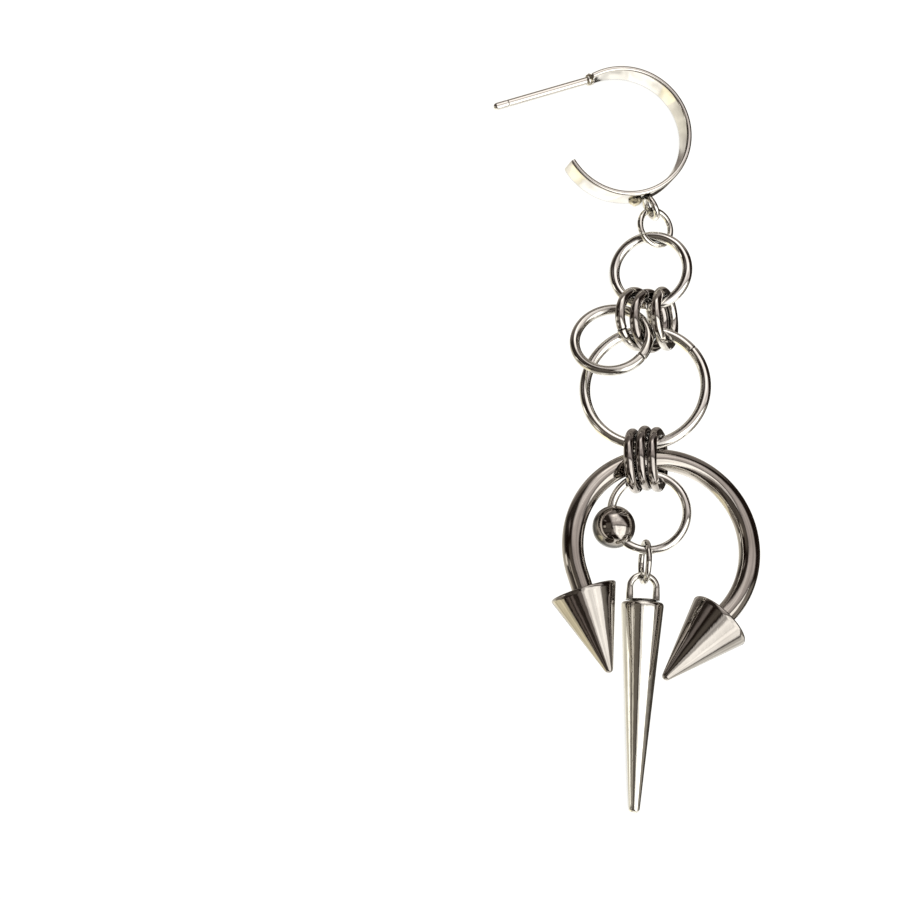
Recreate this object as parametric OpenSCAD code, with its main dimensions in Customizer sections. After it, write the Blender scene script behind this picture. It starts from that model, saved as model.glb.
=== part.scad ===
// Spike earring, laid flat on a table: a wide hoop with an ear post, a run of
// round rings and links, a horseshoe bar with a cone on each end, a captive ring
// with its ball, and a long spike.
// Millimetres. The table is Z = 0, the post end is towards +Y and the spike
// points towards -Y. The origin is under the middle of the laid earring.

/* [Hoop and post] */
// Outer diameter of the wide hoop
hoop_d = 12.9; // [12.5:0.1:13.0]
// Width of the hoop's band
band_w = 3.0; // [2.6:0.1:3.4]
// Thickness of the hoop's band
band_t = 0.5; // [0.4:0.05:0.6]
// Diameter of the ear post
post_d = 0.7; // [0.6:0.05:0.9]
// Length of the ear post
post_len = 10.0; // [8:0.5:11]

/* [Rings and links] */
// Outer diameter of the ring below the first link, and of the ring at the side
ring_d = 7.95; // [7.8:0.05:7.95]
// Outer diameter of the six small coil rings
coil_d = 6.1; // [6.0:0.05:6.1]
// Wire of the rings and coil rings
ring_wire = 0.95; // [0.7:0.05:0.95]
// Outer diameter of the large ring
large_d = 12.4; // [12.1:0.1:12.4]
// Wire of the large ring
large_wire = 1.0; // [0.8:0.05:1.0]
// Wire of the two small links
link_wire = 0.56; // [0.4:0.02:0.56]
// Sawn seam where a ring's two ends meet
seam = 0.06; // [0.03:0.01:0.1]

/* [Horseshoe and cones] */
// Inner diameter of the horseshoe bar
shoe_id = 15.0; // [14.8:0.1:15.2]
// Thickness of the horseshoe bar
shoe_wire = 2.0; // [1.6:0.1:2.0]
// Diameter of a cone at its base
cone_d = 6.2; // [5:0.1:6.2]
// Length of a cone
cone_len = 8.0; // [6:0.5:8]

/* [Captive ring and ball] */
// Outer diameter of the captive ring
captive_d = 7.88; // [7.8:0.02:7.88]
// Wire of the captive ring
captive_wire = 0.82; // [0.7:0.02:0.82]
// Diameter of the captive ball
ball_d = 4.0; // [3.6:0.1:4]

/* [Spike] */
// Diameter of the spike below its shoulder
spike_d = 3.95; // [3.4:0.05:3.95]
// Length of the spike from its top face to its tip
spike_len = 19.8; // [16:0.2:20]
// Outer diameter of the loop on the spike
loop_d = 2.92; // [2.8:0.02:3]

/* [Hidden] */
$fn = 72;

silver = [0.86, 0.85, 0.81];
steel = [0.70, 0.68, 0.66];
warm_steel = [0.78, 0.75, 0.70];

// Hoop: centre on the table, and where its band starts and ends.
hoop_x = 0.15;
hoop_y = 29.20;
hoop_r = hoop_d / 2;
band_from = -148.5;
band_to = 121.5;
band_edge = 0.08;
// The post leaves the band's end bent out of the tangent. Its groove is cut by a
// ring whose middle stands a little off the post's surface.
post_turn = 199.6;
post_groove_at = 1.45;
post_groove_wire = 0.16;
post_groove_rise = 0.04;
post_root = 0.35;
collar_d = 1.06;
collar_len = 0.55;
// Soldered eye under the band, and the solder pad beside it.
eye_turn = -69.3;
eye_d = 2.7;
eye_wire = 0.6;
eye_reach = 1.13;
eye_twist = 7;
pad_turn = -80;
pad_sweep = 9;
pad_t = 0.45;
pad_h = 1.2;

link_r = 1.75;
spike_link_r = 1.83;

// How each ring lies. x, y, z: its centre. lean: how far its axis leans from
// upright, towards the compass turn. seam: where its ends meet, in degrees round
// the ring from its lowest place. The captive ring has a ball there instead.
X = 0;
Y = 1;
Z = 2;
LEAN = 3;
TURN = 4;
SEAM = 5;
hoop_link_lie    = [ 3.17,  20.07, 1.71, 21,     11,   200];
first_ring_lie   = [ 2.58,  15.68, 2.06, 25.5,  165,   100];
upper_coil_lie   = [[ 1.09, 10.90, 2.15, 39,     -5,   215],
                    [ 2.24, 10.69, 2.50, 43,     -6,   120],
                    [ 3.71, 10.94, 2.69, 56.5,    1,    60]];
side_ring_lie    = [-1.55,   8.55, 2.95, 29,    132,   188];
large_ring_lie   = [ 1.66,   4.10, 2.88, 21.5,  160.5, 237];
lower_coil_lie   = [[ 0.50, -2.99, 3.04, 63.5,    1,    70],
                    [ 1.56, -2.72, 3.25, 63,     -1,   285],
                    [ 2.61, -2.85, 3.44, 63,     -2,    75]];
captive_ring_lie = [ 1.84,  -7.87, 3.04, 17.5, -171.5];
spike_link_lie   = [ 1.55, -12.44, 2.47, 87,     -2,   250];

// Horseshoe: its centre, its small tilt down towards the rings, the ends of its
// arc, the straight ends beyond, and the thin plain stubs inside the cones.
shoe_x = 3.03;
shoe_y = -11.20;
shoe_z = 2.96;
shoe_tilt = 2;
shoe_r = (shoe_id + shoe_wire) / 2;
shoe_from = -44;
shoe_to = 197.5;
right_straight = 0.85;
left_straight = 1.7;
stub_d = 1.2;
stub_len = 3.0;
fit_gap = 0.05;
cone_tip_r = 0.42;
cone_edge = 0.18;
bore_run_out = 1;

// Captive ring: the ball sits in the ring's opening, where the ring is lowest.
ball_at = 13;
captive_r = (captive_d - captive_wire) / 2;
ring_bite = 0.4;
dimple_gap = 0.08;

// Spike: its shoulder, its rounded tip and the loop's ring, laid on its side.
spike_x = 1.40;
spike_y = -15.92;
spike_turn = -91.9;
spike_tip_r = 0.52;
shoulder_len = 1.1;
shoulder_in = 0.26;
shoulder_mid_in = 0.09;
loop_wire = 0.58;
loop_rise = 1.12;

function torus_r(outer_d, wire) = (outer_d - wire) / 2;

// A round ring about Z. from and sweep give an open ring's arc.
module torus(r, wire, from = 0, sweep = 360) {
    rotate([0, 0, from])
        rotate_extrude(angle = sweep)
            translate([r, 0])
                circle(d = wire);
}

// Puts what is drawn about the origin where a row of the lying table says.
module lay(lie) {
    translate([lie[X], lie[Y], lie[Z]])
        rotate([0, lie[LEAN], lie[TURN]])
            children();
}

// A closed ring of round wire with its sawn seam, laid where its row says.
module jump_ring(lie, r, wire) {
    cut = 2 * wire;
    lay(lie)
        difference() {
            torus(r, wire);
            rotate([0, 0, lie[SEAM]])
                translate([r, 0, 0])
                    cube([cut, seam, cut], center = true);
        }
}

module band() {
    rotate([0, 0, band_from])
        rotate_extrude(angle = band_to - band_from)
            polygon([[hoop_r - band_t, band_edge],
                     [hoop_r - band_t + band_edge, 0],
                     [hoop_r - band_edge, 0],
                     [hoop_r, band_edge],
                     [hoop_r, band_w - band_edge],
                     [hoop_r - band_edge, band_w],
                     [hoop_r - band_t + band_edge, band_w],
                     [hoop_r - band_t, band_w - band_edge]]);
}

// The post runs along +X from the band's end, with a groove near its round tip.
module post() {
    tip_x = post_len - post_d / 2;
    difference() {
        union() {
            rotate([0, 90, 0])
                translate([0, 0, -post_root])
                    cylinder(d = post_d, h = tip_x + post_root);
            translate([tip_x, 0, 0])
                sphere(d = post_d);
        }
        translate([post_len - post_groove_at, 0, 0])
            rotate([0, 90, 0])
                torus(post_d / 2 + post_groove_rise, post_groove_wire);
    }
    rotate([0, 90, 0])
        translate([0, 0, -collar_len / 2])
            cylinder(d = collar_d, h = collar_len);
}

module eye() {
    rotate([0, 0, eye_turn])
        translate([hoop_r + eye_reach, 0, band_w / 2])
            rotate([90, 0, 0])
                rotate([0, eye_twist, 0])
                    torus(torus_r(eye_d, eye_wire), eye_wire);
}

module solder_pad() {
    rotate([0, 0, pad_turn - pad_sweep / 2])
        rotate_extrude(angle = pad_sweep)
            translate([hoop_r - band_t / 2, (band_w - pad_h) / 2])
                square([pad_t + band_t / 2, pad_h]);
}

module hoop() {
    mid_r = hoop_r - band_t / 2;
    color(silver)
        translate([hoop_x, hoop_y, 0]) {
            band();
            translate([mid_r * cos(band_to), mid_r * sin(band_to), band_w / 2])
                rotate([0, 0, post_turn])
                    post();
            eye();
            solder_pad();
        }
}

module hoop_link() {
    color(silver)
        jump_ring(hoop_link_lie, link_r, link_wire);
}

module first_ring() {
    color(warm_steel)
        jump_ring(first_ring_lie, torus_r(ring_d, ring_wire), ring_wire);
}

module side_ring() {
    color(warm_steel)
        jump_ring(side_ring_lie, torus_r(ring_d, ring_wire), ring_wire);
}

module large_ring() {
    color(warm_steel)
        jump_ring(large_ring_lie, torus_r(large_d, large_wire), large_wire);
}

module coil_ring(lie) {
    color(steel)
        jump_ring(lie, torus_r(coil_d, ring_wire), ring_wire);
}

module upper_coil_1() { coil_ring(upper_coil_lie[0]); }
module upper_coil_2() { coil_ring(upper_coil_lie[1]); }
module upper_coil_3() { coil_ring(upper_coil_lie[2]); }
module lower_coil_1() { coil_ring(lower_coil_lie[0]); }
module lower_coil_2() { coil_ring(lower_coil_lie[1]); }
module lower_coil_3() { coil_ring(lower_coil_lie[2]); }

// The horseshoe's own frame: its centre, level across and dipping towards +Y.
module shoe_frame() {
    translate([shoe_x, shoe_y, shoe_z])
        rotate([-shoe_tilt, 0, 0])
            children();
}

// +Z runs out of the bar's end: side is 1 at the arc's end, -1 at its start.
module at_bar_end(side, straight) {
    turn = side > 0 ? shoe_to : shoe_from;
    rotate([0, 0, turn])
        translate([shoe_r, 0, 0])
            rotate([-90 * side, 0, 0])
                translate([0, 0, straight])
                    children();
}

module bar_end(straight) {
    translate([0, 0, -straight])
        cylinder(d = shoe_wire, h = straight);
    cylinder(d = stub_d, h = stub_len);
}

module horseshoe_bar() {
    color(steel)
        shoe_frame() {
            torus(shoe_r, shoe_wire, shoe_from, shoe_to - shoe_from);
            at_bar_end(1, left_straight)
                bar_end(left_straight);
            at_bar_end(-1, right_straight)
                bar_end(right_straight);
        }
}

// A cone about Z with its base at 0, a blunt round tip and a blind hole.
module cone() {
    base_r = cone_d / 2;
    tip_z = cone_len - cone_tip_r;
    difference() {
        union() {
            rotate_extrude()
                polygon([[0, 0],
                         [base_r - cone_edge, 0],
                         [base_r, cone_edge],
                         [cone_tip_r, tip_z],
                         [0, tip_z]]);
            translate([0, 0, tip_z])
                sphere(r = cone_tip_r);
        }
        translate([0, 0, -bore_run_out])
            cylinder(d = stub_d + 2 * fit_gap, h = bore_run_out + stub_len + fit_gap);
    }
}

module left_cone() {
    color(steel)
        shoe_frame()
            at_bar_end(1, left_straight + fit_gap)
                cone();
}

module right_cone() {
    color(steel)
        shoe_frame()
            at_bar_end(-1, right_straight + fit_gap)
                cone();
}

// Half of the ring's opening, so that each wire end bites into the ball.
function opening_half(bite) = 2 * asin((ball_d / 2 - bite) / (2 * captive_r));

module captive_wire_arc(wire, bite) {
    half = opening_half(bite);
    torus(captive_r, wire, ball_at + half, 360 - 2 * half);
}

module captive_ring() {
    color(warm_steel)
        lay(captive_ring_lie)
            captive_wire_arc(captive_wire, ring_bite);
}

module captive_ball() {
    color(steel)
        lay(captive_ring_lie)
            difference() {
                rotate([0, 0, ball_at])
                    translate([captive_r, 0, 0])
                        sphere(d = ball_d);
                captive_wire_arc(captive_wire + 2 * dimple_gap, ring_bite + dimple_gap);
            }
}

module spike_link() {
    color(silver)
        jump_ring(spike_link_lie, spike_link_r, link_wire);
}

// The spike about Z: top face at 0 and the tip at -spike_len.
module spike_body() {
    r = spike_d / 2;
    tip_z = -spike_len + spike_tip_r;
    rotate_extrude()
        polygon([[0, 0],
                 [r - shoulder_in, 0],
                 [r - shoulder_mid_in, -shoulder_len / 2],
                 [r, -shoulder_len],
                 [spike_tip_r, tip_z],
                 [0, tip_z]]);
    translate([0, 0, tip_z])
        sphere(r = spike_tip_r);
}

module spike_loop() {
    translate([0, 0, loop_rise])
        rotate([0, 90, 0])
            torus(torus_r(loop_d, loop_wire), loop_wire);
}

// The spike lies on its side, along its own slope.
module spike() {
    r = spike_d / 2;
    slope = atan((r - spike_tip_r) / (spike_len - shoulder_len - spike_tip_r));
    tip_rise = spike_tip_r * (1 - cos(slope));
    shoulder_z = r * cos(slope) + shoulder_len * sin(slope) + tip_rise;
    color(silver)
        translate([spike_x, spike_y, shoulder_z])
            rotate([0, 0, spike_turn])
                rotate([0, -90 + slope, 0])
                    union() {
                        spike_body();
                        spike_loop();
                    }
}

hoop();
hoop_link();
first_ring();
upper_coil_1();
upper_coil_2();
upper_coil_3();
side_ring();
large_ring();
lower_coil_1();
lower_coil_2();
lower_coil_3();
horseshoe_bar();
left_cone();
right_cone();
captive_ring();
captive_ball();
spike_link();
spike();
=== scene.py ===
import math

import bmesh
import bpy
from mathutils import Matrix, Vector, noise


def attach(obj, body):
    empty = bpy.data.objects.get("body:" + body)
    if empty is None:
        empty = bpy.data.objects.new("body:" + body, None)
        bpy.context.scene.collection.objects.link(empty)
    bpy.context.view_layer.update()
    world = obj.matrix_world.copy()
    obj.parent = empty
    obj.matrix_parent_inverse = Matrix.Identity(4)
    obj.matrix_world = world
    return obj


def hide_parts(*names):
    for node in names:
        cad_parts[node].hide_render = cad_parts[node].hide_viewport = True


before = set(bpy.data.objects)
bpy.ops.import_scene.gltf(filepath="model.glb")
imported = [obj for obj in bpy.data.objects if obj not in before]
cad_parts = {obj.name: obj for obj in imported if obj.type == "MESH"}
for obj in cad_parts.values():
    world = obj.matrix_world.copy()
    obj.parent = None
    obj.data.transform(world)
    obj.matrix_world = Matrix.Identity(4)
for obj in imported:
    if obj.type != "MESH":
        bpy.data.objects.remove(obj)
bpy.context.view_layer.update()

MM = 0.001
QUARTER = math.pi / 2

# Sizes and places in millimetres and degrees, most of them as in the part's source
HOOP = dict(x=0.15, y=29.20, outer_r=6.45, band_w=3.0, band_t=0.5, rim_r=0.24, end_edge=0.06,
            start=-148.5, end=121.5)
POST = dict(d=0.7, length=10.0, turn=199.6, root=0.35, groove_at=1.45, groove_depth=0.04,
            groove_half=0.07)
COLLAR = dict(d=1.06, length=0.55, edge=0.09)
EYE = dict(turn=-69.3, outer_d=2.7, wire=0.6, reach=1.13, twist=7)
PAD_TURN = -80
RING_R, RING_WIRE = 3.5, 0.95
COIL_R = 2.575
LARGE_R, LARGE_WIRE = 5.7, 1.0
LINK_WIRE = 0.56
HOOP_LINK_R, SPIKE_LINK_R = 1.75, 1.83
# node: x, y, z, lean, turn, seam, ring radius, wire
JUMP_RINGS = {
    "hoop_link": (3.17, 20.07, 1.71, 21, 11, 200, HOOP_LINK_R, LINK_WIRE),
    "first_ring": (2.58, 15.68, 2.06, 25.5, 165, 100, RING_R, RING_WIRE),
    "upper_coil_1": (1.09, 10.90, 2.15, 39, -5, 215, COIL_R, RING_WIRE),
    "upper_coil_2": (2.24, 10.69, 2.50, 43, -6, 120, COIL_R, RING_WIRE),
    "upper_coil_3": (3.71, 10.94, 2.69, 56.5, 1, 60, COIL_R, RING_WIRE),
    "side_ring": (-1.55, 8.55, 2.95, 29, 132, 188, RING_R, RING_WIRE),
    "large_ring": (1.66, 4.10, 2.88, 21.5, 160.5, 237, LARGE_R, LARGE_WIRE),
    "lower_coil_1": (0.50, -2.99, 3.04, 63.5, 1, 70, COIL_R, RING_WIRE),
    "lower_coil_2": (1.56, -2.72, 3.25, 63, -1, 285, COIL_R, RING_WIRE),
    "lower_coil_3": (2.61, -2.85, 3.44, 63, -2, 75, COIL_R, RING_WIRE),
    "spike_link": (1.55, -12.44, 2.47, 87, -2, 250, SPIKE_LINK_R, LINK_WIRE),
}
SEAM_GAP = 0.06
# Rounded edge of a sawn end, as a share of the wire
SEAM_EDGE = 0.09
# How far a sawn end stands out of its ring's plane, and the share of the ring that bends for it
SEAM_SHIFT, LARGE_SEAM_SHIFT, SEAM_BEND = 0.02, 0.045, 0.03
SHOE = dict(x=3.03, y=-11.20, z=2.96, tilt=2, r=8.5, wire=2.0, start=-44, end=197.5,
            stub_d=1.2, stub_len=3.0, stub_edge=0.1, stub_root=0.2)
# node: end of the bar, 1 at its left and -1 at its right, and the bar's straight length there
CONES = {"left_cone": (1, 1.7), "right_cone": (-1, 0.85)}
CONE = dict(d=6.2, length=8.0, tip_r=0.42, edge=0.18, gap=0.05, mouth=0.08)
CAPTIVE = dict(x=1.84, y=-7.87, z=3.04, lean=17.5, turn=-171.5, r=3.53, wire=0.82, bite=0.4)
BALL = dict(d=4.0, at=13, dimple_gap=0.08, dimple_depth=0.35, dimple_wall=0.12)
SPIKE = dict(x=1.40, y=-15.92, turn=-91.9, d=3.95, length=19.8, tip_r=0.52, shoulder_len=1.1)
# Finer than in the source: a thin lip and a groove over a crisp shoulder, and a loop with legs
SPIKE_TOP = dict(lip_r=1.60, lip_t=0.05, groove_in=0.36, groove_slant=0.02, groove_z=0.25,
                 shoulder_in=0.14, shoulder_z=0.62, swell_drop=0.06)
# Insets and drops of the points on the lip's rounded edge and on the one above the shoulder
LIP_EDGE = [(0.03, 0.0), (0.0, 0.02)]
SHOULDER_EDGE = [(0.05, 0.01), (0.015, 0.025)]
LOOP = dict(d=2.92, wire=0.58, rise=1.12, sunk=0.04, stretch=1.09, foot_r=0.335, thickening=1.6)

SHARP_DEGREES = 35


# Mesh helpers

def spread(low, high, steps):
    """Evenly spread values from low to high, both of them included."""
    return [low + (high - low) * i / steps for i in range(steps + 1)]


def full_turn(steps):
    """The angles, in radians, of equal steps round a circle."""
    return [2 * math.pi * i / steps for i in range(steps)]


def place(x, y, z):
    return Matrix.Translation(Vector((x, y, z)))


def turned(degrees, axis):
    return Matrix.Rotation(math.radians(degrees), 4, axis)


def lying(x, y, z, lean, turn):
    """The matrix of a ring that lies at that place, leans and is turned."""
    return place(x, y, z) @ turned(turn, "Z") @ turned(lean, "Y")


def circle(r, steps):
    return [Vector((r * math.cos(t), r * math.sin(t), 0)) for t in full_turn(steps)]


def arc(r, start, sweep, steps, rise=lambda share: 0):
    """Points of an arc about Z. rise gives a height for each share of the way."""
    points = []
    for share in spread(0, 1, steps):
        t = math.radians(start + sweep * share)
        points.append(Vector((r * math.cos(t), r * math.sin(t), rise(share))))
    return points


def rounded_end(edge):
    """Insets and reaches of an end whose edge is rounded by that radius."""
    return [(edge * (1 - math.cos(t)), edge * math.sin(t)) for t in spread(0, QUARTER, 4)[1:]]


def straight(start, end, steps):
    """A straight stretch of a profile, without its two ends."""
    return [(start[0] + (end[0] - start[0]) * share, start[1] + (end[1] - start[1]) * share)
            for share in spread(0, 1, steps)[1:-1]]


def tapered_side(start, tip_r, tip_z, slope, steps):
    """A profile's sloping side, from after start to a rounded tip that ends on the axis at tip_z."""
    way = math.copysign(1, tip_z)
    centre = tip_z - way * tip_r
    tip = [(tip_r * math.cos(t), centre + way * tip_r * math.sin(t)) for t in spread(slope, QUARTER, 10)]
    return straight(start, tip[0], steps) + tip[:-1] + [(0.0, tip_z)]


class Builder:
    """Collects points in millimetres and faces, and makes one object of them."""

    def __init__(self):
        self.points, self.faces = [], []

    def grid(self, rows, closed_rows=False, cap_start=False, cap_end=False):
        """Rows of points, each row closed round, joined by quads."""
        first = len(self.points)
        n = len(rows[0])
        for row in rows:
            self.points += row
        count = len(rows)
        for i in range(count if closed_rows else count - 1):
            a, b = first + i * n, first + (i + 1) % count * n
            for j in range(n):
                k = (j + 1) % n
                self.faces.append((a + j, a + k, b + k, b + j))
        if cap_start:
            self.faces.append(tuple(first + j for j in reversed(range(n))))
        if cap_end:
            self.faces.append(tuple(first + (count - 1) * n + j for j in range(n)))

    def lathe(self, profile, matrix, steps):
        """A profile of (radius, z) turned round Z. A radius of 0 closes an end."""
        rows = [[matrix @ Vector((r * math.cos(t), r * math.sin(t), z)) for t in full_turn(steps)]
                for r, z in profile]
        self.grid(rows, cap_start=profile[0][0] > 0, cap_end=profile[-1][0] > 0)

    def tube(self, centres, radii, matrix, closed=False, steps=36, end_edge=0):
        """A round wire along centres near the XY plane. radii is one radius, or a list of them."""
        if not isinstance(radii, list):
            radii = [radii] * len(centres)
        side = Vector((0, 0, 1))
        count = len(centres)

        def ring(centre, tangent, r):
            out = tangent.cross(side).normalized()
            return [matrix @ (centre + out * (r * math.cos(t)) + side * (r * math.sin(t)))
                    for t in full_turn(steps)]

        rows = []
        for i, centre in enumerate(centres):
            before = centres[i - 1] if closed or i > 0 else centre
            after = centres[(i + 1) % count] if closed or i < count - 1 else centre
            rows.append(ring(centre, (after - before).normalized(), radii[i]))
        if end_edge:
            start = (centres[0] - centres[1]).normalized()
            stop = (centres[-1] - centres[-2]).normalized()
            for inset, reach in rounded_end(end_edge):
                rows.insert(0, ring(centres[0] + start * reach, -start, radii[0] - inset))
                rows.append(ring(centres[-1] + stop * reach, stop, radii[-1] - inset))
        self.grid(rows, closed_rows=closed, cap_start=not closed, cap_end=not closed)

    def globe(self, surface, steps):
        """A closed round form. surface gives the point for each direction from its centre."""
        rows = []
        for v in full_turn(steps)[1:steps // 2]:
            row = [surface(Vector((math.sin(v) * math.cos(u), math.sin(v) * math.sin(u), math.cos(v))))
                   for u in full_turn(steps)]
            rows.append(row[::-1])
        self.grid(rows, cap_start=True, cap_end=True)

    def make(self, name, material):
        mesh = bpy.data.meshes.new(name)
        mesh.from_pydata([p * MM for p in self.points], [], self.faces)
        mesh.validate()
        work = bmesh.new()
        work.from_mesh(mesh)
        bmesh.ops.remove_doubles(work, verts=work.verts, dist=1e-8)
        bmesh.ops.recalc_face_normals(work, faces=work.faces)
        work.to_mesh(mesh)
        work.free()
        mesh.shade_smooth()
        mesh.set_sharp_from_angle(angle=math.radians(SHARP_DEGREES))
        obj = bpy.data.objects.new(name, mesh)
        bpy.context.scene.collection.objects.link(obj)
        mesh.materials.append(material)
        return obj


def finish_piece(obj, slot, *nodes):
    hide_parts(*nodes)
    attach(obj, "root")


# Node trees

AO_SAMPLES = 12


class Tree:
    """A node tree. Each value given to it is a number, a colour or another node's output."""

    def __init__(self, owner, empty=True):
        owner.use_nodes = True
        self.nodes, self.links = owner.node_tree.nodes, owner.node_tree.links
        if empty:
            self.nodes.clear()

    def put(self, node, values):
        """Gives the node's sockets their values, from a dict of socket and value."""
        for socket, value in values.items():
            if isinstance(value, bpy.types.NodeSocket):
                self.links.new(value, node.inputs[socket])
            else:
                node.inputs[socket].default_value = value
        return node

    def add(self, kind, values):
        return self.put(self.nodes.new(kind), values)

    def ramp(self, value, low, high, to_low=0, to_high=1, shape="LINEAR"):
        """Goes from to_low to to_high while value goes from low to high."""
        node = self.add("ShaderNodeMapRange", {"Value": value, "From Min": low, "From Max": high,
                                               "To Min": to_low, "To Max": to_high})
        node.interpolation_type = shape
        return node.outputs["Result"]

    def calc(self, operation, *terms):
        """A sum, a product and so on. More than two terms are taken from left to right."""
        node = self.add("ShaderNodeMath", dict(enumerate(terms[:2])))
        node.operation = operation
        result = node.outputs["Value"]
        return self.calc(operation, result, *terms[2:]) if len(terms) > 2 else result

    def mix(self, share, a, b):
        """Colour a where share is 0 and colour b where it is 1."""
        node = self.nodes.new("ShaderNodeMix")
        node.data_type = "RGBA"
        return self.put(node, {"Factor": share, "A": a, "B": b}).outputs["Result"]

    def scaled(self, colour, share):
        node = self.nodes.new("ShaderNodeVectorMath")
        node.operation = "SCALE"
        return self.put(node, {0: colour, "Scale": share}).outputs["Vector"]

    def noise(self, where, scale, detail, stretch=(1, 1, 1), distortion=0):
        mapped = self.add("ShaderNodeMapping", {"Vector": where, "Scale": stretch}).outputs["Vector"]
        return self.add("ShaderNodeTexNoise", {"Vector": mapped, "Scale": scale, "Detail": detail,
                                               "Distortion": distortion}).outputs["Fac"]

    def openness(self, reach):
        """1 on an open surface, and less where something stands nearer than reach."""
        node = self.add("ShaderNodeAmbientOcclusion", {"Distance": reach})
        node.samples = AO_SAMPLES
        return node.outputs["AO"]


# Materials

# How near something has to stand to cast the painted shade on the metal and the painted shadow on the paper
METAL_CREVICE, PAPER_CREVICE = 0.7 * MM, 0.9 * MM
BUMP_HEIGHT = 0.006 * MM


def metal(name, light, dark, roughness, pits, painted_underside_shade=False):
    """Polished metal: slow colour drift, fine scratches, tiny pits, uneven polish, and painted shade in
    crevices and, optionally, underneath.
    """
    mat = bpy.data.materials.new(name)
    tree = Tree(mat, empty=False)
    shader = tree.nodes["Principled BSDF"]
    shader.inputs["Metallic"].default_value = 1.0
    coord = tree.nodes.new("ShaderNodeTexCoord")
    where = coord.outputs["Object"]

    colour_drift = tree.ramp(tree.noise(where, scale=260, detail=3), 0.35, 0.65)
    tone = tree.mix(colour_drift, (*dark, 1), (*light, 1))
    # Painted shade: the colour darkens where another surface stands near, as in the crevices between
    # touching rings.
    painted_shade = tree.ramp(tree.openness(METAL_CREVICE), 0.2, 0.9, 0.15, 1)
    if painted_underside_shade:
        # Painted shade: a round piece darkens towards its underside, standing in for its own shadow on the
        # paper mirrored there.
        facing_up = tree.add("ShaderNodeSeparateXYZ", {"Vector": coord.outputs["Normal"]}).outputs["Z"]
        painted_shade = tree.calc("MULTIPLY", painted_shade, tree.ramp(facing_up, 0.20, 0.52, 0.05, 1))

    drift = tree.ramp(tree.noise(where, scale=700, detail=4), 0.3, 0.7, roughness * 0.6, roughness * 1.5)
    smear = tree.ramp(tree.noise(where, scale=900, detail=2, stretch=(1, 0.08, 1)), 0.45, 0.75,
                      0, roughness * 0.9)

    cells = tree.add("ShaderNodeTexVoronoi", {"Vector": where, "Scale": 2600}).outputs["Distance"]
    pit_depth = tree.ramp(cells, 0.05, 0.16, -pits, 0)
    scratches = tree.ramp(tree.noise(where, scale=5200, detail=2, stretch=(1, 0.05, 1)), 0.35, 0.65, 0, 0.14)
    swell = tree.ramp(tree.noise(where, scale=420, detail=2), 0.3, 0.7, 0, 1.4)
    bump = tree.add("ShaderNodeBump", {"Height": tree.calc("ADD", pit_depth, scratches, swell),
                                       "Strength": 1.0, "Distance": BUMP_HEIGHT})
    tree.put(shader, {"Base Color": tree.scaled(tone, painted_shade), "Roughness": tree.calc("ADD", drift, smear),
                      "Normal": bump.outputs["Normal"]})
    return mat


def paper(name, colour, brightness):
    """Glowing white paper with a painted shadow only where something almost touches it."""
    mat = bpy.data.materials.new(name)
    tree = Tree(mat)
    # Painted shadow: the paper's glow dims where a piece stands within reach above it.
    light = tree.ramp(tree.openness(PAPER_CREVICE), 0.05, 0.56, 0.10 * brightness, brightness)
    glow = tree.add("ShaderNodeEmission", {"Color": (*colour, 1), "Strength": light})
    tree.add("ShaderNodeOutputMaterial", {"Surface": glow.outputs["Emission"]})
    return mat


# name, light tone, dark tone, roughness, depth of the pits
BRIGHT = metal("bright_metal", (0.87, 0.86, 0.81), (0.79, 0.77, 0.71), 0.06, 0.5)
HOOP_SILVER = metal("hoop_silver", (0.79, 0.77, 0.74), (0.73, 0.705, 0.66), 0.06, 0.25)
RING_STEEL = metal("ring_steel", (0.94, 0.93, 0.90), (0.87, 0.85, 0.81), 0.06, 0.25)
DULL_STEEL = metal("dull_steel", (0.68, 0.665, 0.63), (0.59, 0.57, 0.53), 0.06, 0.25)
BAR_STEEL = metal("bar_steel", (0.53, 0.50, 0.47), (0.44, 0.41, 0.38), 0.05, 0.3)
COIL_STEEL = metal("coil_steel", (0.48, 0.45, 0.43), (0.40, 0.37, 0.35), 0.05, 0.3)
UPPER_STEEL = metal("upper_steel", (0.70, 0.675, 0.64), (0.61, 0.585, 0.55), 0.05, 0.3)
CONE_STEEL = metal("cone_steel", (0.46, 0.435, 0.41), (0.39, 0.365, 0.34), 0.045, 0.35)
BALL_STEEL = metal("ball_steel", (0.54, 0.51, 0.48), (0.46, 0.43, 0.40), 0.035, 0.35, painted_underside_shade=True)
SOLDER = metal("solder", (0.74, 0.69, 0.55), (0.46, 0.41, 0.29), 0.30, 1.0)
# Rings whose tone differs from the others of their kind
RING_METALS = {"hoop_link": BRIGHT, "spike_link": DULL_STEEL, "side_ring": DULL_STEEL,
               "upper_coil_1": UPPER_STEEL, "upper_coil_3": UPPER_STEEL}


# Jump rings

def jump_ring(name):
    """Round wire with a sawn seam whose ends don't quite meet."""
    x, y, z, lean, turn, seam, r, wire = JUMP_RINGS[name]
    coil = name.startswith(("upper", "lower"))
    slot = "bright_metal" if wire == LINK_WIRE else "dark_steel" if coil else "ring_steel"
    material = RING_METALS.get(name, COIL_STEEL if coil else RING_STEEL)
    shift = LARGE_SEAM_SHIFT if name == "large_ring" else SEAM_SHIFT

    def out_of_plane(share):
        """One end stands a little above the ring's plane and the other below it."""
        near = min(share, 1 - share)
        return math.copysign(shift * math.exp(-(near / SEAM_BEND) ** 2), share - 0.5)

    edge = wire * SEAM_EDGE
    open_half = math.degrees((SEAM_GAP / 2 + edge) / r)
    centres = arc(r, seam + open_half, 360 - 2 * open_half, steps=180, rise=out_of_plane)
    b = Builder()
    b.tube(centres, wire / 2, lying(x, y, z, lean, turn), end_edge=edge)
    finish_piece(b.make(name + "_wire", material), slot, name)


# Hoop with its post, collar, eye and solder

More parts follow.
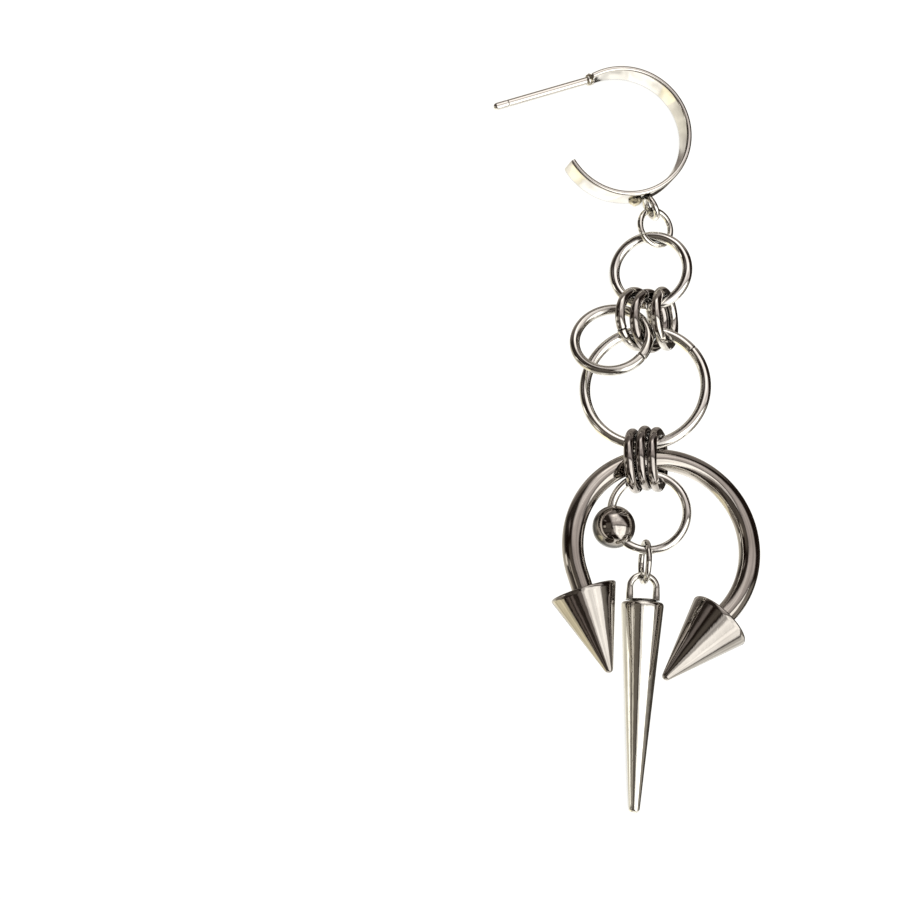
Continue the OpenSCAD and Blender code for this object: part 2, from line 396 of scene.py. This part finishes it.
BAND_MID_R = HOOP["outer_r"] - HOOP["band_t"] / 2
BAND_MID_Z = HOOP["band_w"] / 2
HOOP_PLACE = place(HOOP["x"], HOOP["y"], 0)
POST_PLACE = (HOOP_PLACE @ turned(HOOP["end"], "Z") @ place(BAND_MID_R, 0, BAND_MID_Z)
              @ turned(POST["turn"] - HOOP["end"], "Z") @ turned(90, "Y"))


def on_band(turn):
    """The matrix of a place on the band's outer face, with X pointing out of it."""
    return HOOP_PLACE @ turned(turn, "Z") @ place(HOOP["outer_r"], 0, BAND_MID_Z)


def band_section():
    """The band's cross-section as (radius, z), with its four rims rounded."""
    rim = HOOP["rim_r"]
    outer, inner = HOOP["outer_r"] - rim, HOOP["outer_r"] - HOOP["band_t"] + rim
    top = HOOP["band_w"] - rim
    corners = [(outer, top), (inner, top), (inner, rim), (outer, rim)]
    return [(r + rim * math.cos(a), z + rim * math.sin(a))
            for i, (r, z) in enumerate(corners) for a in spread(i * QUARTER, (i + 1) * QUARTER, 8)]


def band(b):
    """The flat band from its start to its end, both with a rounded edge."""
    section = band_section()
    hold = math.degrees(HOOP["end_edge"] / BAND_MID_R)
    start, end = HOOP["start"] + hold, HOOP["end"] - hold

    def row(angle, inset=0, reach=0):
        """The cross-section, made smaller by inset, at an angle and a reach past it."""
        a = math.radians(angle) + reach / BAND_MID_R
        points = []
        for section_r, section_z in section:
            r = BAND_MID_R + (section_r - BAND_MID_R) * (1 - inset / (HOOP["band_t"] / 2))
            z = BAND_MID_Z + (section_z - BAND_MID_Z) * (1 - inset / (HOOP["band_w"] / 2))
            points.append(HOOP_PLACE @ Vector((r * math.cos(a), r * math.sin(a), z)))
        return points[::-1]

    rows = [row(angle) for angle in spread(start, end, 180)]
    for inset, reach in rounded_end(HOOP["end_edge"]):
        rows.insert(0, row(start, inset, -reach))
        rows.append(row(end, inset, reach))
    b.grid(rows, cap_start=True, cap_end=True)


def post(b):
    """The ear post, with a shallow groove near its rounded tip."""
    r = POST["d"] / 2
    round_from = POST["length"] - r
    groove = POST["length"] - POST["groove_at"]
    half, depth = POST["groove_half"], POST["groove_depth"]
    profile = [(0.0, -POST["root"]), (r, -POST["root"]), (r, groove - half)]
    profile += [(r - depth * math.cos(QUARTER * s), groove + half * s) for s in spread(-0.7, 0.7, 4)]
    profile += [(r, groove + half)]
    profile += [(r * math.cos(t), round_from + r * math.sin(t)) for t in spread(0, QUARTER, 8)]
    b.lathe(profile, POST_PLACE, steps=48)


def collar(b):
    """The collar at the post's root, with rounded edges. Its profile ends inside the post."""
    r, end, edge = COLLAR["d"] / 2, COLLAR["length"] / 2, COLLAR["edge"]
    middle = edge * 0.3
    rounded = [(r - edge, end), (r - middle, end - middle), (r, end - edge)]
    profile = [(0.0, -end)] + [(x, -z) for x, z in rounded] + rounded[::-1]
    profile += [(POST["d"] / 2 * 0.9, end)]
    b.lathe(profile, POST_PLACE, steps=48)


def eye(b):
    eye_place = (on_band(EYE["turn"]) @ place(EYE["reach"], 0, 0)
                 @ turned(90, "X") @ turned(EYE["twist"], "Y"))
    centres = circle((EYE["outer_d"] - EYE["wire"]) / 2, steps=96)
    b.tube(centres, EYE["wire"] / 2, eye_place, closed=True, steps=28)


def hoop():
    b = Builder()
    band(b)
    post(b)
    collar(b)
    eye(b)
    finish_piece(b.make("hoop_soldered", HOOP_SILVER), "bright_metal", "hoop")


SOLDER_GRAIN = 1.7


def lump(b, matrix, centre, radii, seed, uneven):
    """A lump of solder: an ellipsoid with an uneven surface."""
    def surface(d):
        k = 1 + uneven * noise.noise(d * SOLDER_GRAIN + Vector((seed, 0, 0)))
        return matrix @ (Vector(centre) + Vector((d.x * radii[0], d.y * radii[1], d.z * radii[2])) * k)

    b.globe(surface, steps=28)


def hoop_solder():
    """Duller solder: a lump beside the eye, one under it and a rough bead round the post's root."""
    b = Builder()
    lump(b, on_band(PAD_TURN), centre=(0.16, 0, 0.1), radii=(0.50, 0.60, 0.74), seed=3.1, uneven=0.3)
    lump(b, on_band(EYE["turn"]), centre=(0.05, 0, 0), radii=(0.32, 0.44, 0.50), seed=7.7, uneven=0.3)
    lump(b, POST_PLACE, centre=(0, 0, 0.02), radii=(0.56, 0.56, 0.40), seed=5.2, uneven=0.35)
    solder = b.make("hoop_solder", SOLDER)
    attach(solder, "root")


# Horseshoe bar and its cones

SHOE_PLACE = place(SHOE["x"], SHOE["y"], SHOE["z"]) @ turned(-SHOE["tilt"], "X")


def bar_end_place(side, along):
    """Z points out of the bar at that side, and along is how far past its arc the place lies."""
    arc_end = SHOE_PLACE @ turned(SHOE["end"] if side > 0 else SHOE["start"], "Z") @ place(SHOE["r"], 0, 0)
    return arc_end @ turned(-90 * side, "X") @ place(0, 0, along)


def horseshoe_bar():
    """The bent bar with a straight stretch and a thin stub at each end."""
    to_shoe = SHOE_PLACE.inverted()
    left, right = CONES["left_cone"], CONES["right_cone"]

    def stretch(side, length, shares):
        return [(to_shoe @ bar_end_place(side, length * share)).to_translation() for share in shares]

    bend = arc(SHOE["r"], SHOE["start"], SHOE["end"] - SHOE["start"], steps=200)
    centres = stretch(*right, (1, 0.66, 0.33)) + bend + stretch(*left, (0.25, 0.5, 0.75, 1))
    b = Builder()
    b.tube(centres, SHOE["wire"] / 2, SHOE_PLACE, steps=48)
    stub_r, stub_len, edge = SHOE["stub_d"] / 2, SHOE["stub_len"], SHOE["stub_edge"]
    stub = [(stub_r, -SHOE["stub_root"]), (stub_r, stub_len - edge), (stub_r - edge, stub_len)]
    for side, length in (left, right):
        b.lathe(stub, bar_end_place(side, length), steps=32)
    finish_piece(b.make("horseshoe_wire", BAR_STEEL), "dark_steel", "horseshoe_bar")


def cone(name):
    """A cone with a blunt tip, a rounded rim and a blind bore that holds the bar's stub."""
    side, length = CONES[name]
    base_r, edge, tip_r, mouth = CONE["d"] / 2, CONE["edge"], CONE["tip_r"], CONE["mouth"]
    bore_r, bore_end = SHOE["stub_d"] / 2 + CONE["gap"], SHOE["stub_len"] + CONE["gap"]
    slope = math.atan2(base_r - tip_r, CONE["length"] - tip_r - edge)
    profile = [(0.0, bore_end), (bore_r, bore_end), (bore_r, mouth), (bore_r + mouth, 0.0)]
    profile += [(base_r - edge + edge * math.sin(t), edge - edge * math.cos(t))
                for t in spread(0, math.radians(75), 5)]
    profile += [(base_r, edge)]
    profile += tapered_side(profile[-1], tip_r, CONE["length"], slope, steps=24)
    b = Builder()
    b.lathe(profile, bar_end_place(side, length + CONE["gap"]), steps=120)
    finish_piece(b.make(name + "_polished", CONE_STEEL), "dark_steel", name)


# Captive ring and ball

CAPTIVE_PLACE = lying(CAPTIVE["x"], CAPTIVE["y"], CAPTIVE["z"], CAPTIVE["lean"], CAPTIVE["turn"])


def opening_half(bite):
    """Half the ring's opening, in degrees, where its ends reach that far into the ball."""
    return 2 * math.degrees(math.asin((BALL["d"] / 2 - bite) / (2 * CAPTIVE["r"])))


def captive_ring():
    half = opening_half(CAPTIVE["bite"])
    b = Builder()
    b.tube(arc(CAPTIVE["r"], BALL["at"] + half, 360 - 2 * half, steps=140), CAPTIVE["wire"] / 2,
           CAPTIVE_PLACE)
    finish_piece(b.make("captive_wire", RING_STEEL), "ring_steel", "captive_ring")


def captive_ball():
    """The ball, with a dimple for each of the ring's two ends."""
    ball_r, ring_r = BALL["d"] / 2, CAPTIVE["r"]
    ball_place = CAPTIVE_PLACE @ turned(BALL["at"], "Z") @ place(ring_r, 0, 0)
    dimple_r = CAPTIVE["wire"] / 2 + BALL["dimple_gap"]
    dimples = []
    for sign in (1, -1):
        a = math.radians(opening_half(0) * sign)
        dimples.append(Vector((ring_r * (math.cos(a) - 1), ring_r * math.sin(a), 0)).normalized())

    def surface(d):
        r = ball_r
        for dimple in dimples:
            off = ball_r * math.acos(max(-1, min(1, d.dot(dimple))))
            if off < dimple_r:
                r = ball_r - BALL["dimple_depth"] * min(1, (dimple_r - off) / BALL["dimple_wall"])
        return ball_place @ (d * r)

    b = Builder()
    b.globe(surface, steps=128)
    finish_piece(b.make("ball_polished", BALL_STEEL), "dark_steel", "captive_ball")


# Spike and its loop

def spike_profile(r, slope):
    """From the middle of the top face over the lip, the groove and the shoulder to the tip."""
    lip_r, lip_t, groove_z = SPIKE_TOP["lip_r"], SPIKE_TOP["lip_t"], SPIKE_TOP["groove_z"]
    groove_r = lip_r - SPIKE_TOP["groove_in"]
    top_r, shoulder_z = r - SPIKE_TOP["shoulder_in"], SPIKE_TOP["shoulder_z"]
    swell_z = groove_z + SPIKE_TOP["swell_drop"]
    profile = [(0.0, 0.0)] + [(lip_r - inset, -drop) for inset, drop in LIP_EDGE]
    profile += [(lip_r, -lip_t), (groove_r, -lip_t - SPIKE_TOP["groove_slant"]), (groove_r, -groove_z)]
    profile += [(top_r - inset, -groove_z - drop) for inset, drop in SHOULDER_EDGE]
    # The shoulder swells as a quarter of an ellipse.
    profile += [(top_r + (r - top_r) * math.sin(t), -swell_z - (shoulder_z - swell_z) * (1 - math.cos(t)))
                for t in spread(0, QUARTER, 14)]
    return profile + tapered_side(profile[-1], SPIKE["tip_r"], -SPIKE["length"], slope, steps=40)


def loop(b, matrix):
    """A slightly wide arch whose legs thicken towards the lip."""
    r, wire_r = (LOOP["d"] - LOOP["wire"]) / 2, LOOP["wire"] / 2
    foot = LOOP["rise"] + LOOP["sunk"]
    shares = spread(1, 0, 12)[:-1]
    leg = [Vector((foot * share, r, 0)) for share in shares]
    leg_radii = [wire_r + (LOOP["foot_r"] - wire_r) * min(1, share * LOOP["thickening"]) for share in shares]
    top = arc(r, 90, 180, steps=64)
    other_leg = [Vector((p.x, -p.y, 0)) for p in reversed(leg)]
    centres = [Vector((p.x, p.y * LOOP["stretch"], 0)) for p in leg + top + other_leg]
    b.tube(centres, leg_radii + [wire_r] * len(top) + leg_radii[::-1],
           matrix @ place(0, 0, LOOP["rise"]) @ turned(90, "Y"), steps=28)


def spike():
    """The spike lies on its flank, so its axis leans by the slope of its side."""
    r, tip_r, shoulder = SPIKE["d"] / 2, SPIKE["tip_r"], SPIKE["shoulder_len"]
    slope = math.atan((r - tip_r) / (SPIKE["length"] - shoulder - tip_r))
    top_z = r * math.cos(slope) + shoulder * math.sin(slope) + tip_r * (1 - math.cos(slope))
    spike_place = (place(SPIKE["x"], SPIKE["y"], top_z) @ turned(SPIKE["turn"], "Z")
                   @ turned(-90 + math.degrees(slope), "Y"))
    b = Builder()
    b.lathe(spike_profile(r, slope)[::-1], spike_place, steps=120)
    loop(b, spike_place)
    finish_piece(b.make("spike_polished", BRIGHT), "bright_metal", "spike")


# Room that the metal mirrors

FAR = 200


def box(left, right, low, high):
    """The corners of an upright patch, running clockwise."""
    return [(left, high), (right, high), (right, low), (left, low)]


ROOM_DARK = (0.018, 0.011, 0.008)
# Patches of the room, each laid over those before it: corners, softness and colour. Corners are
# degrees from straight up, across and along. They run clockwise and the outline is convex. 90 is
# the horizon and more is the paper.
ROOM = [
    # Walls and paper beyond the hoop
    (box(-FAR, FAR, 86, FAR), 10, (0.36, 0.32, 0.28)),
    (box(-FAR, FAR, 122, FAR), 12, (0.60, 0.56, 0.50)),
    (box(-FAR, -118, -FAR, FAR), 24, (0.85, 0.80, 0.68)),
    (box(-45, 60, 128, FAR), 12, (0.24, 0.205, 0.18)),
    # Paper and wall on the viewer's side
    (box(-FAR, FAR, -FAR, -82), 7, (0.55, 0.51, 0.45)),
    (box(-FAR, -20, -FAR, -67), 4, (0.62, 0.58, 0.50)),
    (box(-36, FAR, -FAR, -80), 8, (1.2, 1.16, 1.07)),
    (box(-FAR, FAR, -FAR, -118), 14, (1.50, 1.46, 1.36)),
    (box(-FAR, -76, -120, -56), 4, (1.25, 1.15, 0.82)),
    (box(68, FAR, -FAR, -58), 6, (1.1, 1.07, 0.99)),
    # Right side
    (box(58, 101, -60, -6), 4, (0.34, 0.31, 0.27)),
    (box(104, FAR, -40, 90), 10, (0.05, 0.043, 0.036)),
    (box(133, FAR, -FAR, -18), 8, (1.25, 1.22, 1.14)),
    # Dim left side with two streaks
    (box(-98, -24, -40, -18), 6, (0.13, 0.112, 0.094)),
    (box(-98, -24, -60, -42), 5, (0.045, 0.035, 0.028)),
    (box(-124, -84, -60, -20), 7, (0.34, 0.30, 0.25)),
    ([(-66, -64), (-58, -52), (-54, -54), (-62, -66)], 3, (0.26, 0.215, 0.18)),
    ([(-50, -58), (-46, -46), (-40, -46), (-44, -58)], 3, (0.24, 0.20, 0.18)),
    # Dim far side
    (box(-100, -20, 62, 92), 9, (0.17, 0.145, 0.125)),
    ([(-100, 60), (-30, 60), (-30, 24), (-100, 30)], 8, (0.035, 0.027, 0.022)),
    ([(-67, 39), (-53, 29), (-53, 23), (-67, 33)], 3, (0.32, 0.28, 0.26)),
    (box(-56, -27, -20, 14), 5, (0.14, 0.12, 0.10)),
    (box(-24, 70, 62, 96), 8, (0.26, 0.23, 0.21)),
    # Ceiling and its lamp
    ([(-34, 64), (8, 64), (62, 2), (-20, 2)], 7, (0.68, 0.62, 0.59)),
    ([(-21, 62), (12, 62), (26, 21), (-21, 21)], 5, (1.22, 1.15, 1.10)),
    (box(-15, 8, 48, 60), 4, (1.9, 1.8, 1.7)),
    # Dim wall beside the window, the window's frame and its bright glass
    (box(-24, -4, -52, -22), 3, (0.22, 0.19, 0.17)),
    ([(-21, -3), (57, -3), (60, -74), (40, -80), (19, -66), (3, -53), (-9, -40)], 3, (0.92, 0.88, 0.84)),
    ([(-5, -4), (53, -4), (57, -70), (40, -75), (20, -61), (6, -49), (-1, -38)], 3, (2.0, 1.96, 1.87)),
    # Small lights at the left
    (box(-90, -78, -12, 3), 3, (0.45, 0.41, 0.35)),
    (box(-72, -58, -12, 1), 3, (0.60, 0.55, 0.47)),
    (box(-116, -95, -7, 8), 3, (1.6, 1.54, 1.38)),
    (box(-92, -78, -34, -22), 3, (1.5, 1.42, 1.3)),
]
# Paper close under a piece: its colour, and the angles from straight up and across where it sets in
PAPER_BELOW, BELOW_TILT, BELOW_ACROSS = (1.25, 1.21, 1.08), (146, 178), (20, -70)
TINY = 0.0001


def room_angles(tree, direction):
    """A direction as its angle from straight up, and that angle shared out across and along."""
    x, y, z = tree.add("ShaderNodeSeparateXYZ", {"Vector": direction}).outputs
    tilt = tree.calc("MULTIPLY", tree.calc("ARCCOSINE", z), 180 / math.pi)
    level = tree.calc("SQRT", tree.calc("ADD", tree.calc("MULTIPLY", x, x), tree.calc("MULTIPLY", y, y)))
    share = tree.calc("DIVIDE", tilt, tree.calc("MAXIMUM", level, TINY))
    return tilt, tree.calc("MULTIPLY", x, share), tree.calc("MULTIPLY", y, share)


def surroundings():
    """White for soft light; for reflections, a dark room with a window over pale paper."""
    world = bpy.data.worlds.new("studio")
    bpy.context.scene.world = world
    tree = Tree(world)
    direction = tree.nodes.new("ShaderNodeTexCoord").outputs["Generated"]
    tilt, across, along = room_angles(tree, direction)

    def soft_step(value, low, high):
        return tree.ramp(value, low, high, shape="SMOOTHSTEP")

    def inside(corners, soft):
        """1 inside the outline and 0 outside it."""
        sides = []
        for (u0, v0), (u1, v1) in zip(corners, corners[1:] + corners[:1]):
            size = math.hypot(u1 - u0, v1 - v0)
            past_u = tree.calc("MULTIPLY", tree.calc("SUBTRACT", across, u0), (v1 - v0) / size)
            past_v = tree.calc("MULTIPLY", tree.calc("SUBTRACT", along, v0), (u0 - u1) / size)
            sides.append(soft_step(tree.calc("ADD", past_u, past_v), -soft, soft))
        return tree.calc("MULTIPLY", *sides)

    colour = (*ROOM_DARK, 1)
    for corners, soft, tint in ROOM:
        colour = tree.mix(inside(corners, soft), colour, (*tint, 1))
    # Close under a piece its flanks mirror the paper almost straight down.
    below = tree.calc("MULTIPLY", soft_step(tilt, *BELOW_TILT), soft_step(across, *BELOW_ACROSS))
    colour = tree.mix(below, colour, (*PAPER_BELOW, 1))
    # The room isn't even: streaks and patches of light and shade.
    patches = tree.noise(direction, scale=4.5, detail=3, distortion=0.6)
    colour = tree.scaled(colour, tree.ramp(patches, 0.35, 0.65, 0.78, 1.22))

    mirrored = tree.nodes.new("ShaderNodeLightPath").outputs["Is Glossy Ray"]
    back = tree.add("ShaderNodeBackground", {"Color": tree.mix(mirrored, (1, 1, 1, 1), colour),
                                             "Strength": 1.0})
    tree.add("ShaderNodeOutputWorld", {"Surface": back.outputs["Background"]})


# Floor and camera

FLOOR_SIZE = 3.0
PAPER_COLOUR, PAPER_BRIGHTNESS = (1, 0.99, 0.96), 1.12
CAMERA_AT = Vector((-76.09, -63.94, 296)) * MM
CAMERA_TO = Vector((-16.47, -2.03, 0)) * MM
SENSOR, LENS = 36.0, 132.0


def lay_floor():
    """Paper that the metal doesn't mirror, as the room stands in for it, and that blocks no light."""
    bpy.ops.mesh.primitive_plane_add(size=FLOOR_SIZE, location=(0, 0, 0))
    floor = bpy.context.object
    floor.name = "floor"
    floor.data.materials.append(paper("floor_paper", PAPER_COLOUR, PAPER_BRIGHTNESS))
    floor.visible_glossy = False
    floor.visible_shadow = False


def set_camera():
    """The photo's view, from above the spike and a little from the left, with +Y upwards."""
    forward = (CAMERA_TO - CAMERA_AT).normalized()
    right = forward.cross(Vector((0, 1, 0))).normalized()
    up = right.cross(forward)
    camera = bpy.data.objects.new("camera", bpy.data.cameras.new("camera"))
    bpy.context.scene.collection.objects.link(camera)
    camera.matrix_world = Matrix((
        (right.x, up.x, -forward.x, CAMERA_AT.x),
        (right.y, up.y, -forward.y, CAMERA_AT.y),
        (right.z, up.z, -forward.z, CAMERA_AT.z),
        (0, 0, 0, 1)))
    camera.data.sensor_width = SENSOR
    camera.data.lens = LENS
    camera.data.clip_start, camera.data.clip_end = 0.01, 10
    bpy.context.scene.camera = camera


for ring_name in JUMP_RINGS:
    jump_ring(ring_name)
hoop()
hoop_solder()
horseshoe_bar()
for cone_name in CONES:
    cone(cone_name)
captive_ring()
captive_ball()
spike()
lay_floor()
surroundings()
bpy.context.scene.view_settings.view_transform = "Standard"
set_camera()
